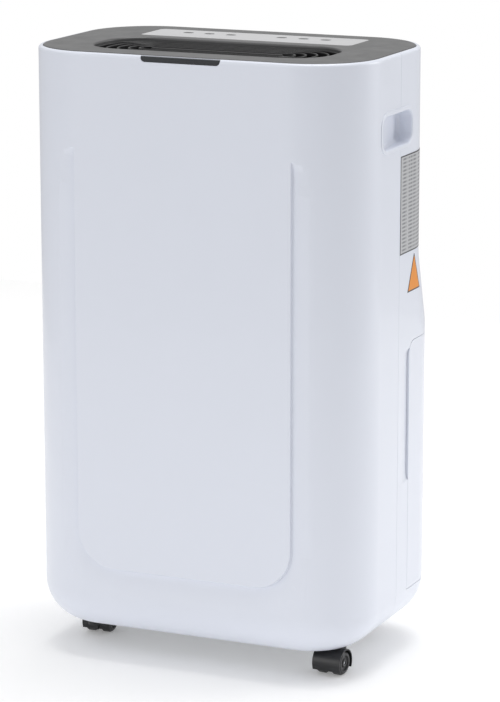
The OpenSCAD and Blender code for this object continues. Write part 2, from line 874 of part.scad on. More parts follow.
module casing_screws() {
    color(steel) for (x = [-85, 85], z = screw_zs) union() {
        rod_y(x, upper_y - 11, upper_y, z, 2);
        rod_y(x, upper_y, upper_y + 1.8, z, 3.8);
    }
}

// ---------- casters ----------

module at_fl() { translate([-caster_x, caster_front_y, 0]) rotate([0, 0, heading_fl]) children(); }

module at_fr() { translate([caster_x, caster_front_y, 0]) rotate([0, 0, heading_fr]) children(); }

module at_rl() { translate([-caster_rear_x, caster_rear_y, 0]) rotate([0, 0, heading_rl]) children(); }

module at_rr() { translate([caster_rear_x, caster_rear_y, 0]) rotate([0, 0, heading_rr]) children(); }

module caster_stems() {
    color(steel) for (s = swivels) translate([s[0], s[1], 19]) cylinder(h = base_z + 3, r = stem_r);
}

module caster_hood() {
    color(black) difference() {
        union() {
            intersection() {
                rod_x(-14.6, 14.6, caster_trail, wheel_r, hood_r);
                block(-15, 15, -20, 60, 5.5, 60);
            }
            rod_x(-2.8, 2.8, caster_trail, wheel_r, wheel_r - 3.5);
            translate([0, 0, 12]) cylinder(h = base_z - 12.5, r = 7);
            block(-2.8, 2.8, 0, caster_trail, 5.5, 24);
        }
        for (x = [-14.8, 3]) rod_x(x, x + 11.8, caster_trail, wheel_r, wheel_r + 0.7);
        rod_x(-4, 4, caster_trail, wheel_r, 2.06);
        translate([0, 0, 18]) cylinder(h = base_z, r = stem_r + 0.05);
    }
}

module caster_axle() { color(steel) rod_x(-13, 13, caster_trail, wheel_r, 2); }

module caster_wheels() {
    color(black) for (s = [-1, 1]) mirror([s < 0 ? 1 : 0, 0, 0])
        translate([3.3, caster_trail, wheel_r]) rotate([0, 90, 0]) rotate_extrude() polygon([
            [2, 0], [wheel_r - 1.5, 0], [wheel_r, 1.5], [wheel_r, 7.5], [wheel_r - 1, 9.4],
            [wheel_r - 2.4, 10.6], [7.6, 10.6], [6.8, 9.2], [4.6, 9.2], [3.8, 10.3], [2, 10.3],
        ]);
}

front_shell();
rear_shell();
base_pan();
top_panel();
outlet_grille();
control_strip();
light_bar_lens();
grip_cup();  // grip_cup_right
mirror([1, 0, 0]) grip_cup();  // grip_cup_left
rating_plate();
notice_sticker();
key(0);  // key_power
key(1);  // key_mode
key(2);  // key_fan
key(3);  // key_timer
key(4);  // key_humidity
key(5);  // key_lock
intake_grille();
filter_frame();
filter_mesh();
water_tank();
tank_lid();
tank_handle();
tank_float();
tank_bay();
tank_switch();
drip_tray();
drain_spout();
drain_plug();
coil_shroud();
evaporator();
condenser();
compressor();
accumulator();
refrigerant_pipes();
compressor_grommets();
compressor_bolts();
fan_scroll();
fan_motor();
motor_shaft();
fan_wheel();
control_board();
display_board();
run_capacitor();
humidity_sensor();
cord_gland();
casing_screws();
caster_stems();
at_fl() caster_hood();  // caster_hood_fl
at_fl() caster_axle();  // caster_axle_fl
at_fl() caster_wheels();  // caster_wheels_fl
at_fr() caster_hood();  // caster_hood_fr
at_fr() caster_axle();  // caster_axle_fr
at_fr() caster_wheels();  // caster_wheels_fr
at_rl() caster_hood();  // caster_hood_rl
at_rl() caster_axle();  // caster_axle_rl
at_rl() caster_wheels();  // caster_wheels_rl
at_rr() caster_hood();  // caster_hood_rr
at_rr() caster_axle();  // caster_axle_rr
at_rr() caster_wheels();  // caster_wheels_rr
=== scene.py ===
"""Looks of the portable dehumidifier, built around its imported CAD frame.

Sizes here are millimetres, like the CAD. The front is -Y, the right side +X.
"""

import json
import math

import bmesh
import bpy
from mathutils import Matrix, Vector


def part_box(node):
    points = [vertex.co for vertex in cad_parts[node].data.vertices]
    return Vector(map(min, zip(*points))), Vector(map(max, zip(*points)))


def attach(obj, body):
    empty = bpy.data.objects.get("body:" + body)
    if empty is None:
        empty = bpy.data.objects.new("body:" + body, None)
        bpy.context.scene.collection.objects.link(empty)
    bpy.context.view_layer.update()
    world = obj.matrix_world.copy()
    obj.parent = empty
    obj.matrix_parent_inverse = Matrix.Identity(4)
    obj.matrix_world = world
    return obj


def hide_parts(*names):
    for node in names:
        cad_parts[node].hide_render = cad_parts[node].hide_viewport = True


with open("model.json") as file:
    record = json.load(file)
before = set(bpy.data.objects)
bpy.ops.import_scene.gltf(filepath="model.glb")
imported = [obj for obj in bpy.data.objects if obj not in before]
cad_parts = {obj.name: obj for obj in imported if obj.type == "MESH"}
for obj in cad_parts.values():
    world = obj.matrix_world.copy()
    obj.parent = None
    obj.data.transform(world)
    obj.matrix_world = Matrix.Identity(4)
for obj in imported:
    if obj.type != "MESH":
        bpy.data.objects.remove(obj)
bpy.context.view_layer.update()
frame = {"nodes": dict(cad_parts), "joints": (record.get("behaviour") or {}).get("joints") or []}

MM = 0.001
ARC = 20  # steps in a quarter turn of a large corner
CORNERS = ("fl", "fr", "rl", "rr")
KEYS = ("key_power", "key_mode", "key_fan", "key_timer", "key_humidity", "key_lock")


# ---------- sizes read from the frame ----------


def node_box(node):
    """Lowest and highest corner of a CAD node in millimetres."""
    return tuple(Vector(corner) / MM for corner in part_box(node))


front_lo, front_hi = node_box("front_shell")
panel_hi = node_box("top_panel")[1]
tank_lo, tank_hi = node_box("water_tank")
door_lo, door_hi = node_box("intake_grille")
grille_lo, grille_hi = node_box("outlet_grille")
strip_lo, strip_hi = node_box("control_strip")
lens_lo, lens_hi = node_box("light_bar_lens")
grip_lo, grip_hi = node_box("grip_cup_right")

SIDE_X = front_hi.x
FRONT_Y = front_lo.y
REAR_Y = tank_hi.y
UPPER_Y = door_hi.y
BASE_Z = front_lo.z
RIM_Z = front_hi.z
TOP_Z = panel_hi.z
SHELF_Z = tank_hi.z + 10.5  # where the back starts to lean forward
LEAN_Z = door_lo.z - 10.4  # where it stands upright again
BEND = 9  # how far each bend of the back is rounded off, up and down
CORNER_R = 68  # the casing's corners, seen from above
FOOT_R = 42  # its bottom edge
RIM_R = 3.2  # its top edge
RIM_W = 4.3  # width of the rim round the top panel
WALL = 2.5
SEAM_GAP = 0.15  # half of the seam
SEAM_Y = front_hi.y + SEAM_GAP
HOLD_DEPTH = 2.4  # the finger hold in front of the bucket
TANK_GAP = 0.5
TANK_R = 12  # upper front corner of the bucket, seen from the side
PANEL_X = 111  # the raised front panel: half its width, its foot and its corners
PANEL_Z = 94.5
PANEL_R = 38
GROOVE_DEPTH = 3.8  # the sunken U round it: depth, lowest crease, corners and top
GROOVE_Z = 73
GROOVE_R = 55
GROOVE_TOP = 502
TAPER_Z = 468  # where the groove starts to narrow towards its top end
OUTLET_R = 38
STRIP_R = 6
KEY_R = 3.5
KEY_GAP = 0.35  # round a key in its hole
KEY_FLANGE = 1.6  # how far a key's hidden flange stands out
GRIP_R = 10
GRIP_LIP = 4.5
LENS_R = 4


# ---------- mesh helpers ----------


def build(name, points, faces):
    """A mesh object from points in millimetres."""
    mesh = bpy.data.meshes.new(name)
    mesh.from_pydata([Vector(p) * MM for p in points], [], faces)
    obj = bpy.data.objects.new(name, mesh)
    bpy.context.scene.collection.objects.link(obj)
    bm = bmesh.new()
    bm.from_mesh(mesh)
    bmesh.ops.recalc_face_normals(bm, faces=bm.faces)
    bm.to_mesh(mesh)
    bm.free()
    return obj


def loft(name, rings, closed=False):
    """A skin over rings of equal length. Its ends are capped, or joined to each other when closed."""
    count = len(rings[0])
    points = [p for ring in rings for p in ring]
    spans = len(rings) if closed else len(rings) - 1
    faces = []
    for i in range(spans):
        a, b = i * count, (i + 1) % len(rings) * count
        for j in range(count):
            k = (j + 1) % count
            faces.append((a + j, a + k, b + k, b + j))
    if not closed:
        faces.append(tuple(range(count))[::-1])
        faces.append(tuple(range(len(points) - count, len(points))))
    return build(name, points, faces)


def oval(x0, x1, y0, y1, rx, ry=None, ry_back=None, steps=ARC):
    """A rectangle with elliptical corners as points (x, y), anticlockwise from the right back corner."""
    ry = rx if ry is None else ry
    ry_back = ry if ry_back is None else ry_back
    spots = (
        (x1 - rx, y1 - ry_back, ry_back, 0),
        (x0 + rx, y1 - ry_back, ry_back, 90),
        (x0 + rx, y0 + ry, ry, 180),
        (x1 - rx, y0 + ry, ry, 270),
    )
    points = []
    for cx, cy, r, start in spots:
        for i in range(steps + 1):
            a = math.radians(start + 90 * i / steps)
            points.append((cx + rx * math.cos(a), cy + r * math.sin(a)))
    return points


def grown(box, r, grow, steps=ARC):
    """The outline of a rounded rectangle box = (x0, x1, y0, y1), moved out by grow."""
    x0, x1, y0, y1 = box
    return oval(x0 - grow, x1 + grow, y0 - grow, y1 + grow, max(r + grow, 0.05), steps=steps)


def plate(name, box, r, profile, axis="z", steps=ARC, closed=False):
    """A rounded rectangle lofted through (level, grow) pairs along an axis."""
    turn = {
        "z": lambda p, q, level: (p, q, level),
        "y": lambda p, q, level: (p, level, q),
        "x": lambda p, q, level: (level, p, q),
    }[axis]
    rings = [[turn(p, q, level) for p, q in grown(box, r, grow, steps)] for level, grow in profile]
    return loft(name, rings, closed)


def box_solid(name, lo, hi):
    """A closed box between two corners."""
    x, y, z = zip(lo, hi)
    return loft(name, [[(x[0], y[0], k), (x[1], y[0], k), (x[1], y[1], k), (x[0], y[1], k)] for k in z])


def turned(name, profile, centre, axis="y", steps=48):
    """A lathe shape: (radius, level) pairs turned about an axis through centre."""
    cx, cy, cz = centre
    rings = []
    for radius, level in profile:
        ring = []
        for i in range(steps):
            a = 2 * math.pi * i / steps
            u, v = radius * math.cos(a), radius * math.sin(a)
            spot = {"x": (level, u, v), "y": (u, level, v), "z": (u, v, level)}[axis]
            ring.append((cx + spot[0], cy + spot[1], cz + spot[2]))
        rings.append(ring)
    return loft(name, rings)


def bake(obj):
    """Replaces an object's mesh with its evaluated one and drops its modifiers."""
    graph = bpy.context.evaluated_depsgraph_get()
    mesh = bpy.data.meshes.new_from_object(obj.evaluated_get(graph))
    obj.modifiers.clear()
    obj.data = mesh


def combine(obj, tools, how="DIFFERENCE"):
    """Cuts, joins or intersects obj with closed tools, which are then removed."""
    for tool in tools:
        step = obj.modifiers.new("combine", "BOOLEAN")
        step.operation = how
        step.solver = "EXACT"
        step.object = tool
        bake(obj)
        bpy.data.objects.remove(tool)
    return obj


def copy_of(obj, name):
    """A second object with a mesh of its own."""
    twin = bpy.data.objects.new(name, obj.data.copy())
    bpy.context.scene.collection.objects.link(twin)
    return twin


def rounding(r, steps=5):
    """(drop, inset) pairs of a quarter round of radius r, from its lower end to its top."""
    turns = [math.pi / 2 * i / steps for i in range(steps + 1)]
    return [(r * (1 - math.sin(a)), r * (1 - math.cos(a))) for a in turns]


def tidy(obj, angle=32):
    """Merges doubled points and shades smooth across shallow edges."""
    bm = bmesh.new()
    bm.from_mesh(obj.data)
    bmesh.ops.remove_doubles(bm, verts=bm.verts, dist=0.004 * MM)
    bmesh.ops.dissolve_degenerate(bm, edges=bm.edges, dist=0.002 * MM)
    bm.to_mesh(obj.data)
    bm.free()
    obj.data.shade_smooth()
    obj.data.set_sharp_from_angle(angle=math.radians(angle))
    weigh = obj.modifiers.new("even_shading", "WEIGHTED_NORMAL")
    weigh.keep_sharp = True
    weigh.weight = 100
    return obj


def finish_piece(obj, body, finish, nodes=()):
    """Shades a piece, gives it its material, and lets it ride on a body in place of CAD nodes."""
    tidy(obj)
    obj.data.materials.clear()
    obj.data.materials.append(finish)
    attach(obj, body)
    if nodes:
        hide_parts(*nodes)
    return obj


# ---------- the casing's form ----------


def corner_inset(height, r):
    """How far a quarter round of radius r at an edge lies inside that edge at a height above it."""
    return 0 if height >= r else r - math.sqrt(max(r * r - (r - height) ** 2, 0))


def back_y(z):
    """The back of the casing at a height, with both bends of the lean rounded off."""
    slope = (REAR_Y - UPPER_Y) / (LEAN_Z - SHELF_Z)
    if z <= SHELF_Z - BEND:
        return REAR_Y
    if z < SHELF_Z + BEND:
        return REAR_Y - slope * (z - SHELF_Z + BEND) ** 2 / (4 * BEND)
    if z <= LEAN_Z - BEND:
        return REAR_Y - slope * (z - SHELF_Z)
    if z < LEAN_Z + BEND:
        return UPPER_Y + slope * (LEAN_Z + BEND - z) ** 2 / (4 * BEND)
    return UPPER_Y


def casing_ring(z, inset, front_inset, top):
    """One level outline of the casing, moved in by inset and at the front by front_inset."""
    height = z - BASE_Z - inset
    side = inset + corner_inset(height, FOOT_R - inset)
    if inset == 0 and top == RIM_Z:
        side += corner_inset(top - z, RIM_R)
    front = side + front_inset - inset
    outline = oval(
        -SIDE_X + side,
        SIDE_X - side,
        FRONT_Y + front,
        back_y(z) - side,
        CORNER_R - side,
        CORNER_R - front,
        CORNER_R - side,
        steps=24,
    )
    return [(x, y, z) for x, y in outline]


def casing_form(name, inset=0, front_inset=None, top=RIM_Z):
    """The casing as a closed solid up to a height."""
    foot = FOOT_R - inset
    low = BASE_Z + inset
    levels = [low + foot * (1 - math.cos(math.pi / 2 * i / 18)) for i in range(19)]
    levels += [120, 200, 280]
    levels += [SHELF_Z + BEND * i / 4 for i in range(-4, 5)]
    levels += [SHELF_Z + 23, LEAN_Z - 23]
    levels += [LEAN_Z + BEND * i / 4 for i in range(-4, 5)]
    levels += [440, 500, 550, RIM_Z - RIM_R]
    levels = [z for z in levels if z < top - 0.1]
    if inset == 0 and top == RIM_Z:
        levels += [RIM_Z - drop for drop, _ in rounding(RIM_R)[1:-1]]
    levels.append(top)
    front_inset = inset if front_inset is None else front_inset
    return loft(name, [casing_ring(z, inset, front_inset, top) for z in levels])


def surface_x(y, z):
    """Half width of the casing's outer skin at a place on its side."""
    height = z - BASE_Z
    side = corner_inset(height, FOOT_R)
    r = CORNER_R - side
    centre_back = back_y(z) - side - r
    centre_front = FRONT_Y + CORNER_R
    past = max(y - centre_back, centre_front - y, 0)
    return SIDE_X - side - r + math.sqrt(max(r * r - past * past, 0))


def front_depth(x):
    """How far the front of the casing lies behind its flat face at a place across it."""
    past = max(abs(x) - (SIDE_X - CORNER_R), 0)
    return CORNER_R - math.sqrt(CORNER_R**2 - past**2)


# ---------- casing pieces ----------


def groove_path():
    """Stations along the raised panel's edge, from its left top end round to the right one.

    Each is (inner point, crease point, depth), with the points as (x, z).
    """
    run_out = 14  # height over which the groove's floor rises at its top end
    flush_x = SIDE_X - CORNER_R + math.sqrt(CORNER_R**2 - (CORNER_R - GROOVE_DEPTH) ** 2)
    right = []
    for i in range(13):
        a = math.pi / 2 * i / 12
        z = GROOVE_TOP - (GROOVE_TOP - TAPER_Z) * (1 - math.sin(a))
        out = PANEL_X + 2 + (flush_x - PANEL_X - 2) * math.cos(a)
        past = max(z - GROOVE_TOP + run_out, 0) / run_out
        fade = math.sqrt(max(1 - past**2, 0))
        right.append(((PANEL_X, z), (out, z), max(GROOVE_DEPTH * fade, 0.02)))
    right.reverse()
    centre_in = (PANEL_X - PANEL_R, PANEL_Z + PANEL_R)
    centre_out = (flush_x - GROOVE_R, GROOVE_Z + GROOVE_R)
    for z in (400, 300, 200):
        right.append(((PANEL_X, z), (flush_x, z), GROOVE_DEPTH))
    for i in range(25):
        a = math.pi / 2 * i / 24
        inner = (centre_in[0] + PANEL_R * math.cos(a), centre_in[1] - PANEL_R * math.sin(a))
        crease = (centre_out[0] + GROOVE_R * math.cos(a), centre_out[1] - GROOVE_R * math.sin(a))
        right.append((inner, crease, GROOVE_DEPTH))
    left = [((-p[0], p[1]), (-q[0], q[1]), depth) for p, q, depth in right]
    return left + right[::-1]


def groove_tool():
    """The solid that sinks the U: a ruled floor from the panel's foot up to a crease."""
    edge, foot = 1.0, 0.9
    rings = []
    for inner, crease, depth in groove_path():
        across = Vector((crease[0] - inner[0], crease[1] - inner[1]))
        width = across.length
        across.normalize()
        soft = min(edge, depth * 0.4)
        hollow = min(foot, depth * 0.3)
        rise = depth - front_depth(crease[0])
        section = [(-soft - 0.6, -4.0), (-soft - 0.001, -0.02)]
        for i in range(1, 5):
            a = math.pi / 2 * i / 4
            section.append((-soft + soft * math.sin(a), soft * (1 - math.cos(a))))
        for i in range(5):
            a = math.pi / 2 * i / 4
            section.append((hollow * (1 - math.cos(a)), depth - hollow + hollow * math.sin(a)))
        section.append((width, depth - rise))
        section.append((width * 1.3, depth - rise * 1.3))
        section.append((width * 1.3, -4.0))
        rings.append([
            (inner[0] + across.x * w, FRONT_Y + d, inner[1] + across.y * w) for w, d in section
        ])
    return loft("groove_tool", rings)


def grip_tool(name, side):
    """The cut through a side wall that takes a hand grip."""
    y0, y1, z0, z1 = grip_opening()
    x0, x1 = sorted((side * (SIDE_X - 25), side * (SIDE_X + 5)))
    return plate(name, (y0, y1, z0, z1), GRIP_R, [(x0, 2.2), (x1, 2.2)], "x")


def grip_opening():
    """The mouth of a grip's pocket, inside its lip, as (y0, y1, z0, z1)."""
    return grip_lo.y + GRIP_LIP, grip_hi.y - GRIP_LIP, grip_lo.z + GRIP_LIP, grip_hi.z - GRIP_LIP


def tank_tool(name, grow):
    """The side outline of the bucket as a prism across the whole casing."""
    y0, y1 = tank_lo.y - grow, REAR_Y + 60
    z0, z1 = tank_lo.z - grow, tank_hi.z + grow
    corner = []
    for i in range(13):
        a = math.pi / 2 * (1 + i / 12)
        corner.append((y0 + TANK_R + TANK_R * math.cos(a), z1 - TANK_R + TANK_R * math.sin(a)))
    side = [(y1, z0), (y1, z1), *corner, (y0, z0)]
    return loft(name, [[(x, y, z) for y, z in side] for x in (-SIDE_X - 8, SIDE_X + 8)])


def scoop_tool(side):
    """The shallow finger hold in the side wall just in front of the bucket: a ramp with rounded ends."""
    low, high = tank_lo.z + 110, tank_hi.z - 6
    back = tank_lo.y + 20
    rings = []
    for i in range(17):
        a = math.pi * i / 16
        z = (low + high) / 2 - math.cos(a) * (high - low) / 2
        end = min(z - low, high - z)
        depth = HOLD_DEPTH * min(1, math.sqrt(max(1 - (1 - end / 8) ** 2, 0.0004)) if end < 8 else 1)
        section = ((3, 0), (0.01, 0), (-depth, tank_lo.y - TANK_GAP), (-depth, back), (3, back))
        rings.append([(side * (SIDE_X + out), y, z) for out, y in section])
    return loft("scoop_tool", rings)


def opening_tools():
    """The tools that open the casing: its top, its cavity, the bucket bay, the grips and the underside."""
    mouth = (
        -SIDE_X + RIM_W,
        SIDE_X - RIM_W,
        FRONT_Y + RIM_W,
        UPPER_Y - RIM_W,
    )
    lip = TOP_Z - 9
    flare = [(-0.9, 0), (-0.5, 0.12), (-0.2, 0.35), (0.1, 0.8), (3, 0.8)]
    flare = [(RIM_Z + rise, out) for rise, out in flare]
    top = plate("mouth", mouth, CORNER_R - RIM_W, [(lip - 2, 0), *flare], steps=24)
    cavity = casing_form("cavity", WALL, WALL + 4.6, lip)
    under = plate("under", (-129, 129, FRONT_Y + FOOT_R, 70), 20, [(BASE_Z - 5, 0), (BASE_Z + 9, 0)])
    sockets = []
    for corner in CORNERS:
        x, y = swivel_spot(corner)
        sockets.append(turned("socket", [(9, BASE_Z - 5), (9, BASE_Z + 20)], (x, y, 0), "z"))
    return [top, cavity, under, *sockets, grip_tool("grip_cut_r", 1), grip_tool("grip_cut_l", -1)]


def swivel_spot(corner):
    """Where a caster's upright axis stands, from the joint that turns it."""
    for joint in frame["joints"]:
        if joint["name"] == "swivel_" + corner:
            return joint["pos_m"][0] / MM, joint["pos_m"][1] / MM
    raise ValueError(corner)


def half(form, name, front):
    """The part of the casing in front of or behind the seam, cut along the seam."""
    y0, y1 = (FRONT_Y - 5, SEAM_Y - SEAM_GAP) if front else (SEAM_Y + SEAM_GAP, REAR_Y + 5)
    piece = copy_of(form, name)
    keep = box_solid("keep", (-SIDE_X - 5, y0, 0), (SIDE_X + 5, y1, RIM_Z + 100))
    return combine(piece, [keep], "INTERSECT")


def make_casing(white):
    """The two halves of the casing, cut from one form so that they meet along the seam."""
    form = casing_form("casing_form")
    combine(form, [scoop_tool(1), scoop_tool(-1), *opening_tools()])
    front = half(form, "front_casing", True)
    rear = half(form, "rear_casing", False)
    bpy.data.objects.remove(form)
    lens = plate(
        "lens_cut",
        (lens_lo.x, lens_hi.x, lens_lo.z, RIM_Z + 20),
        LENS_R,
        [(FRONT_Y - 4, 0.2), (lens_hi.y + 0.1, 0.2)],
        "y",
    )
    combine(front, [groove_tool(), lens])
    finish_piece(front, "casing", white, ["front_shell"])

    for side in (-1, 1):
        x0, x1 = sorted((side * (SIDE_X - 4.9), side * (SIDE_X - HOLD_DEPTH - 0.04)))
        backing = box_solid("backing", (x0, -2, tank_lo.z + 106), (x1, tank_lo.y - TANK_GAP, tank_hi.z))
        combine(rear, [backing], "UNION")
    x0, x1, z0, z1 = door_lo.x - 0.4, door_hi.x + 0.4, door_lo.z - 0.4, door_hi.z + 0.4
    pocket = plate("pocket", (x0, x1, z0, z1), 1.2, [(UPPER_Y - 5, 0), (UPPER_Y + 5, 0)], "y", 4)
    combine(rear, [tank_tool("bay_cut", TANK_GAP), pocket])
    finish_piece(rear, "casing", white, ["rear_shell"])


def make_bucket(white):
    """The bucket: the casing's own form inside its side outline, hollowed."""
    outer = combine(casing_form("bucket"), [tank_tool("bucket_outline", 0)], "INTERSECT")
    hollow = casing_form("hollow", WALL + 0.3)
    room = box_solid(
        "room",
        (-SIDE_X, tank_lo.y + WALL, tank_lo.z + WALL),
        (SIDE_X, REAR_Y, tank_hi.z + 30),
    )
    combine(hollow, [room], "INTERSECT")
    combine(outer, [hollow])
    finish_piece(outer, "water_tank", white, ["water_tank"])


# ---------- top ----------


def outlet_box():
    """The outlet's outline as (x0, x1, y0, y1)."""
    return grille_lo.x, grille_hi.x, grille_lo.y, grille_hi.y


def make_top(grey):
    """The top cover with the outlet's mouth, the strip's bed and the keys' holes."""
    gap = RIM_W + 0.3
    rim = (-SIDE_X + gap, SIDE_X - gap, FRONT_Y + gap, UPPER_Y - gap)
    profile = [(TOP_Z - 13, 0), (TOP_Z - 1.0, 0)]
    profile += [(TOP_Z - drop, -inset) for drop, inset in rounding(1.0)[1:]]
    cover = plate("top_cover", rim, CORNER_R - gap, profile, steps=24)
    under = plate("under", rim, CORNER_R - gap, [(TOP_Z - 20, -2.5), (TOP_Z - 3.5, -2.5)], steps=24)
    collar = plate("collar", outlet_box(), OUTLET_R, [(TOP_Z - 19, 2.5), (TOP_Z - 3, 2.5)])
    combine(cover, [under])
    combine(cover, [collar], "UNION")
    mouth_r = 2.0
    mouth = [(TOP_Z - 22, 0.2), (TOP_Z - mouth_r, 0.2)]
    mouth += [(TOP_Z - drop, 0.2 + inset) for drop, inset in rounding(mouth_r)[1:]]
    mouth.append((TOP_Z + 3, 0.2 + mouth_r))
    cuts = [plate("mouth", outlet_box(), OUTLET_R, mouth)]
    strip = (strip_lo.x, strip_hi.x, strip_lo.y, strip_hi.y)
    cuts.append(plate("strip_bed", strip, STRIP_R, [(strip_lo.z, 0.25), (TOP_Z + 3, 0.25)]))
    for key in KEYS:
        cuts.append(key_hole(key, TOP_Z - 8, TOP_Z + 3))
    combine(cover, cuts)
    finish_piece(cover, "casing", grey, ["top_panel"])


def key_oval(key):
    """The outline of a key's cap, which is smaller than its flange."""
    lo, hi = node_box(key)
    return lo.x + KEY_FLANGE, hi.x - KEY_FLANGE, lo.y + KEY_FLANGE, hi.y - KEY_FLANGE


def key_hole(key, z0, z1):
    """The cut that a key moves in."""
    return plate("hole", key_oval(key), KEY_R, [(z0, KEY_GAP), (z1, KEY_GAP)], steps=8)


def make_strip(film):
    """The pale strip that the keys come up through."""
    box = (strip_lo.x, strip_hi.x, strip_lo.y, strip_hi.y)
    profile = [(strip_lo.z, 0), (strip_hi.z - 0.3, 0)]
    profile += [(strip_hi.z - drop, -inset) for drop, inset in rounding(0.3, 3)[1:]]
    strip = plate("control_film", box, STRIP_R, profile)
    combine(strip, [key_hole(key, strip_lo.z - 1, strip_hi.z + 3) for key in KEYS])
    finish_piece(strip, "casing", film, ["control_strip"])


def make_keys(dark):
    """The six oval keys, each a domed cap with its flange and stem."""
    for key in KEYS:
        lo, hi = node_box(key)
        box = key_oval(key)
        stem = (lo.x + hi.x) / 2
        mid = (lo.y + hi.y) / 2
        flange_z = lo.z + 4.5
        shoulder = flange_z + 1.5
        profile = [(flange_z, KEY_FLANGE), (shoulder, KEY_FLANGE), (shoulder, 0), (hi.z - 0.7, 0)]
        profile += [(hi.z - 0.7 + 0.55 * math.sin(a), -1.2 * (1 - math.cos(a))) for a in (0.5, 0.9, 1.2)]
        profile.append((hi.z, -2.4))
        cap = plate(key + "_cap", box, KEY_R, profile, steps=8)
        pin = turned("pin", [(2, lo.z), (2, flange_z + 0.5)], (stem, mid, 0), "z", 24)
        combine(cap, [pin], "UNION")
        finish_piece(cap, key, dark, [key])


def grille_ring(half_x, half_y, r, mid_y, z0, z1):
    """A closed ring of the outlet grille with a rounded top edge."""
    thick = 2
    round_r = thick / 2
    box = (-half_x, half_x, mid_y - half_y, mid_y + half_y)
    levels = [(z0, 0)]
    for i in range(9):
        a = math.pi * i / 8
        levels.append((z1 - round_r + round_r * math.sin(a), -round_r + round_r * math.cos(a)))
    levels.append((z0, -thick))
    return plate("ring", box, r, levels, closed=True)


def make_outlet(black):
    """The outlet: rings one inside another, with a bar along the middle and ribs below."""
    z0, z1 = grille_lo.z, grille_hi.z
    mid = (grille_lo.y + grille_hi.y) / 2
    half_y = (grille_hi.y - grille_lo.y) / 2
    rings = []
    for k in range(5):
        deep = half_y - 8.4 * k
        r = min(OUTLET_R - 6.2 * k, deep - 0.4)
        rings.append(grille_ring(grille_hi.x - 10 * k, deep, r, mid, z0, z1))
    parts = rings[1:]
    bar = plate(
        "bar",
        (-68, 68, mid - 2, mid + 2),
        1.9,
        [(z0, 0), (z1 - 1.2, 0)] + [(z1 - drop, -inset) for drop, inset in rounding(1.2)[1:]],
        steps=6,
    )
    parts.append(bar)
    for x in range(-84, 85, 28):
        parts.append(box_solid("rib", (x - 1, mid - half_y + 1, z0), (x + 1, mid + half_y - 1, z1 - 5)))
    for x0, x1 in ((-119, -66), (66, 119)):
        parts.append(box_solid("rib", (x0, mid - 1, z0), (x1, mid + 1, z1 - 5)))
    grille = combine(rings[0], parts, "UNION")
    grille.name = "outlet_rings"
    finish_piece(grille, "casing", black, ["outlet_grille"])


def make_lens(smoke):
    """The dark status lens, cut off level just under the rim."""
    box = (lens_lo.x + LENS_R, lens_hi.x - LENS_R, lens_lo.z + LENS_R, RIM_Z + 20)
    profile = [(lens_hi.y, LENS_R), (lens_lo.y + 0.6, LENS_R)]
    profile += [(lens_lo.y + drop, LENS_R - inset) for drop, inset in rounding(0.6, 3)[1:]]
    lens = plate("light_lens", box, 0.05, profile, "y")
    level = box_solid("level", (-60, FRONT_Y - 3, RIM_Z - 0.6), (60, FRONT_Y + 9, RIM_Z + 60))
    combine(lens, [level])
    finish_piece(lens, "casing", smoke, ["light_bar_lens"])


# ---------- sides ----------


def make_grip(side, white):
    """A hand grip: a pocket with rounded depths and a raised lip that lies on the wall."""
    box = grip_opening()
    depth, proud = 16, 0.8
    wall_x = SIDE_X
    floor_x = wall_x - depth
    profile = [(floor_x, -9.6), (floor_x, -5)]
    for i in range(1, 7):
        a = math.pi / 2 * i / 6
        profile.append((floor_x + 5 - 5 * math.cos(a), -5 + 5 * math.sin(a)))
    profile.append((wall_x - 1.5, 0))
    for i in range(1, 6):
        a = math.pi / 2 * i / 5
        profile.append((wall_x + proud - 2.2 + 2.2 * math.sin(a), 1.8 * (1 - math.cos(a))))
    profile.append((wall_x + proud, GRIP_LIP - 0.8))
    profile += [(wall_x + proud * 0.75, GRIP_LIP - 0.2), (wall_x + proud * 0.35, GRIP_LIP)]
    profile.append((wall_x - 0.05, GRIP_LIP))
    profile += [(wall_x - 0.05, 2), (floor_x + 4, 2), (floor_x - 1.2, -3), (floor_x - 2, -9.6)]
    name = "grip_right" if side > 0 else "grip_left"
    grip = plate(name, box, GRIP_R, [(side * x, grow) for x, grow in profile], "x")
    slope_floor(grip, side, box[0], box[1], wall_x - 1.5)
    nodes = ["grip_cup_right" if side > 0 else "grip_cup_left"]
    finish_piece(grip, "casing", white, nodes)


def slope_floor(grip, side, front, back, level):
    """Lets a grip's pocket run from nearly flush at its front to its full depth at its back."""
    for point in grip.data.vertices:
        x, y = abs(point.co.x) / MM, point.co.y / MM
        if x < level:
            part = min(max((y - front) / (back - front), 0), 1)
            share = 0.08 + 0.92 * part
            point.co.x = side * (level - (level - x) * share) * MM


def wall_sheet(name, outline, proud, cells):
    """A thin sheet on the right wall. The outline gives (y, z) for (u, v), each 0 to 1."""
    columns, rows = cells
    points, faces = [], []
    for shift in (proud, 0.02):
        for j in range(rows + 1):
            for i in range(columns + 1):
                y, z = outline(i / columns, j / rows)
                points.append((surface_x(y, z) + shift, y, z))
    layer = (columns + 1) * (rows + 1)
    spot = lambda i, j, k: k * layer + j * (columns + 1) + i
    for k in (0, 1):
        for j in range(rows):
            for i in range(columns):
                faces.append((spot(i, j, k), spot(i + 1, j, k), spot(i + 1, j + 1, k), spot(i, j + 1, k)))
    rim = [(i, 0) for i in range(columns)] + [(columns, j) for j in range(rows)]
    rim += [(i, rows) for i in range(columns, 0, -1)] + [(0, j) for j in range(rows, 0, -1)]
    for n, (i, j) in enumerate(rim):
        p, q = rim[(n + 1) % len(rim)]
        faces.append((spot(i, j, 0), spot(i, j, 1), spot(p, q, 1), spot(p, q, 0)))
    return build(name, points, faces)


